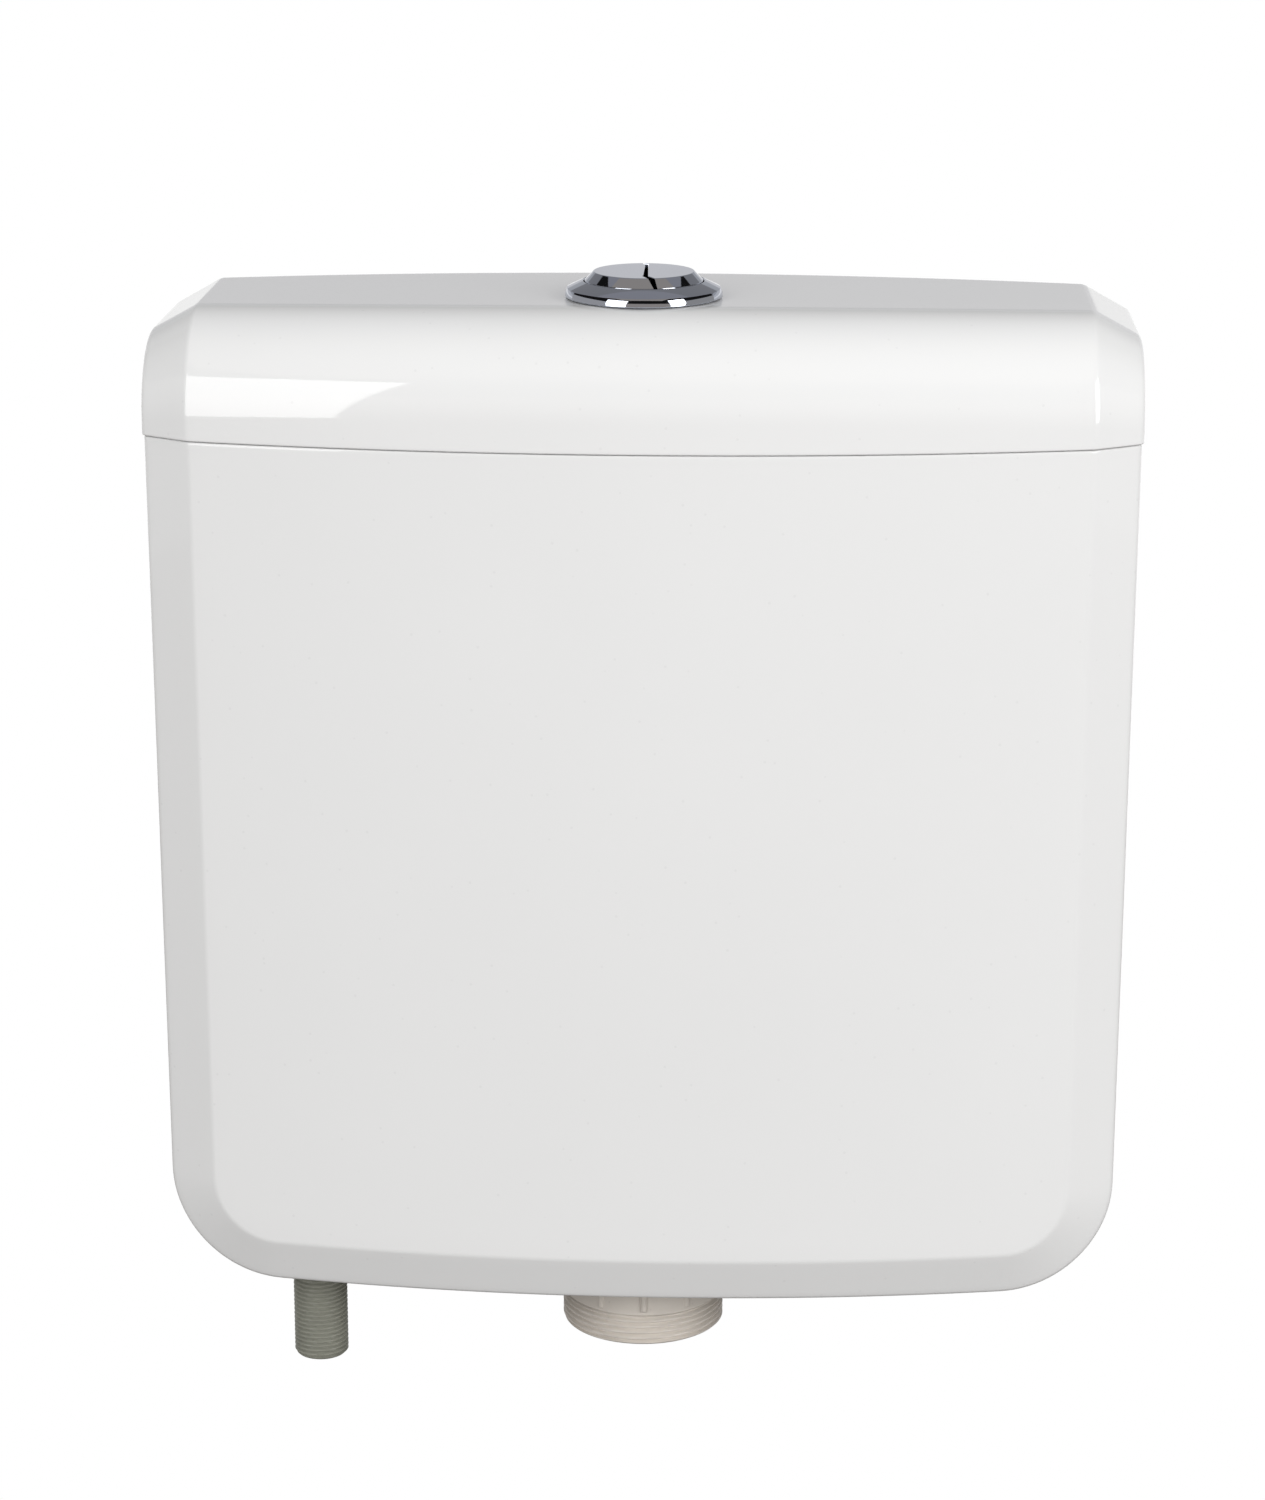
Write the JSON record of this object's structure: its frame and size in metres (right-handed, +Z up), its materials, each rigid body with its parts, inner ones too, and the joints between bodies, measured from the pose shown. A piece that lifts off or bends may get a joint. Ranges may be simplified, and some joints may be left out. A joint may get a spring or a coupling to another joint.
{
  "type": "toilet cistern",
  "caption": "White wall-hung plastic toilet cistern with a bowed front, lift-off lid, chrome dual push button, flush valve with overflow, and bottom-entry fill valve.",
  "frame": {"origin": "on the wall face, midway between the two wall screw holes", "axes": "+Z up, +Y into the wall, +X to the right seen from the front"},
  "size_m": [0.3644, 0.1157, 0.426],
  "materials": {
    "white_abs": "gloss moulded",
    "chrome": "polished",
    "cream_plastic": "moulded",
    "grey_plastic": "moulded",
    "white_plastic": "moulded",
    "blue_plastic": "moulded",
    "green_plastic": "moulded",
    "black_rubber": "moulded",
    "red_silicone": "moulded",
    "spring_steel": "drawn"
  },
  "bodies": {
    "tank": {"tank": "white_abs", "flush_valve_base": "cream_plastic", "flush_valve_gasket": "black_rubber", "flush_valve_nut": "cream_plastic", "valve_basket": "white_plastic", "rocker_bracket": "white_plastic", "rocker_pin": "spring_steel", "inlet_riser": "grey_plastic", "inlet_gasket": "black_rubber", "inlet_nut": "grey_plastic", "inlet_valve_body": "white_plastic", "inlet_diaphragm": "black_rubber", "inlet_valve_cap": "blue_plastic", "lever_pin": "spring_steel", "float_stop": "grey_plastic"},
    "lid": {"lid": "white_abs", "bezel": "chrome", "bezel_seal": "black_rubber", "bezel_nut": "white_plastic", "button_guide": "white_plastic", "full_button_spring": "spring_steel", "half_button_spring": "spring_steel"},
    "full_button": {"full_flush_button": "chrome", "full_flush_rod": "white_plastic"},
    "half_button": {"half_flush_button": "chrome", "half_flush_rod": "white_plastic"},
    "full_rocker": {"full_flush_rocker": "blue_plastic"},
    "half_rocker": {"half_flush_rocker": "green_plastic"},
    "core": {"overflow_tube": "white_plastic", "main_seal": "red_silicone", "seal_retainer": "white_plastic", "core_float": "blue_plastic", "lift_yoke": "blue_plastic", "sleeve_stop": "grey_plastic"},
    "half_sleeve": {"half_flush_sleeve": "green_plastic"},
    "float": {"float_cup": "white_plastic", "float_link": "spring_steel"},
    "lever": {"inlet_lever": "blue_plastic", "pilot_seal": "black_rubber"}
  },
  "joints": [
    {"name": "lid_lift", "type": "slide", "parent": "tank", "child": "lid", "axis": [0, 0, 1], "range_m": [0, 0.12]},
    {"name": "full_flush_press", "type": "slide", "parent": "lid", "child": "full_button", "axis": [0, 0, -1], "range_m": [0, 0.007], "stiffness_N_per_m": 250, "springref_m": -0.006, "deforming": ["full_button_spring"]},
    {"name": "half_flush_press", "type": "slide", "parent": "lid", "child": "half_button", "axis": [0, 0, -1], "range_m": [0, 0.007], "stiffness_N_per_m": 250, "springref_m": -0.006, "deforming": ["half_button_spring"]},
    {"name": "full_rocker_turn", "type": "hinge", "parent": "tank", "child": "full_rocker", "pos_m": [0, -0.053, -0.03], "axis": [1, 0, 0], "range_deg": [0, 31.24]},
    {"name": "half_rocker_turn", "type": "hinge", "parent": "tank", "child": "half_rocker", "pos_m": [0, -0.053, -0.03], "axis": [1, 0, 0], "range_deg": [0, 31.24]},
    {"name": "core_rise", "type": "slide", "parent": "tank", "child": "core", "axis": [0, 0, 1], "range_m": [0, 0.01]},
    {"name": "half_sleeve_rise", "type": "slide", "parent": "core", "child": "half_sleeve", "axis": [0, 0, 1], "range_m": [0, 0.01]},
    {"name": "float_rise", "type": "slide", "parent": "tank", "child": "float", "axis": [0, 0, 1], "range_m": [0, 0.008]},
    {"name": "inlet_lever_turn", "type": "hinge", "parent": "tank", "child": "lever", "pos_m": [-0.117, -0.0685, -0.032], "axis": [0, -1, 0], "range_deg": [0, 21.33]}
  ],
  "couplings": [
    {"joint": "full_rocker_turn", "follows": "full_flush_press", "rad_per_m": 77.874},
    {"joint": "core_rise", "follows": "full_flush_press", "ratio": 1.4286},
    {"joint": "half_rocker_turn", "follows": "half_flush_press", "rad_per_m": 77.874},
    {"joint": "half_sleeve_rise", "follows": "half_flush_press", "ratio": 1.4286},
    {"joint": "inlet_lever_turn", "follows": "float_rise", "rad_per_m": 46.521}
  ]
}
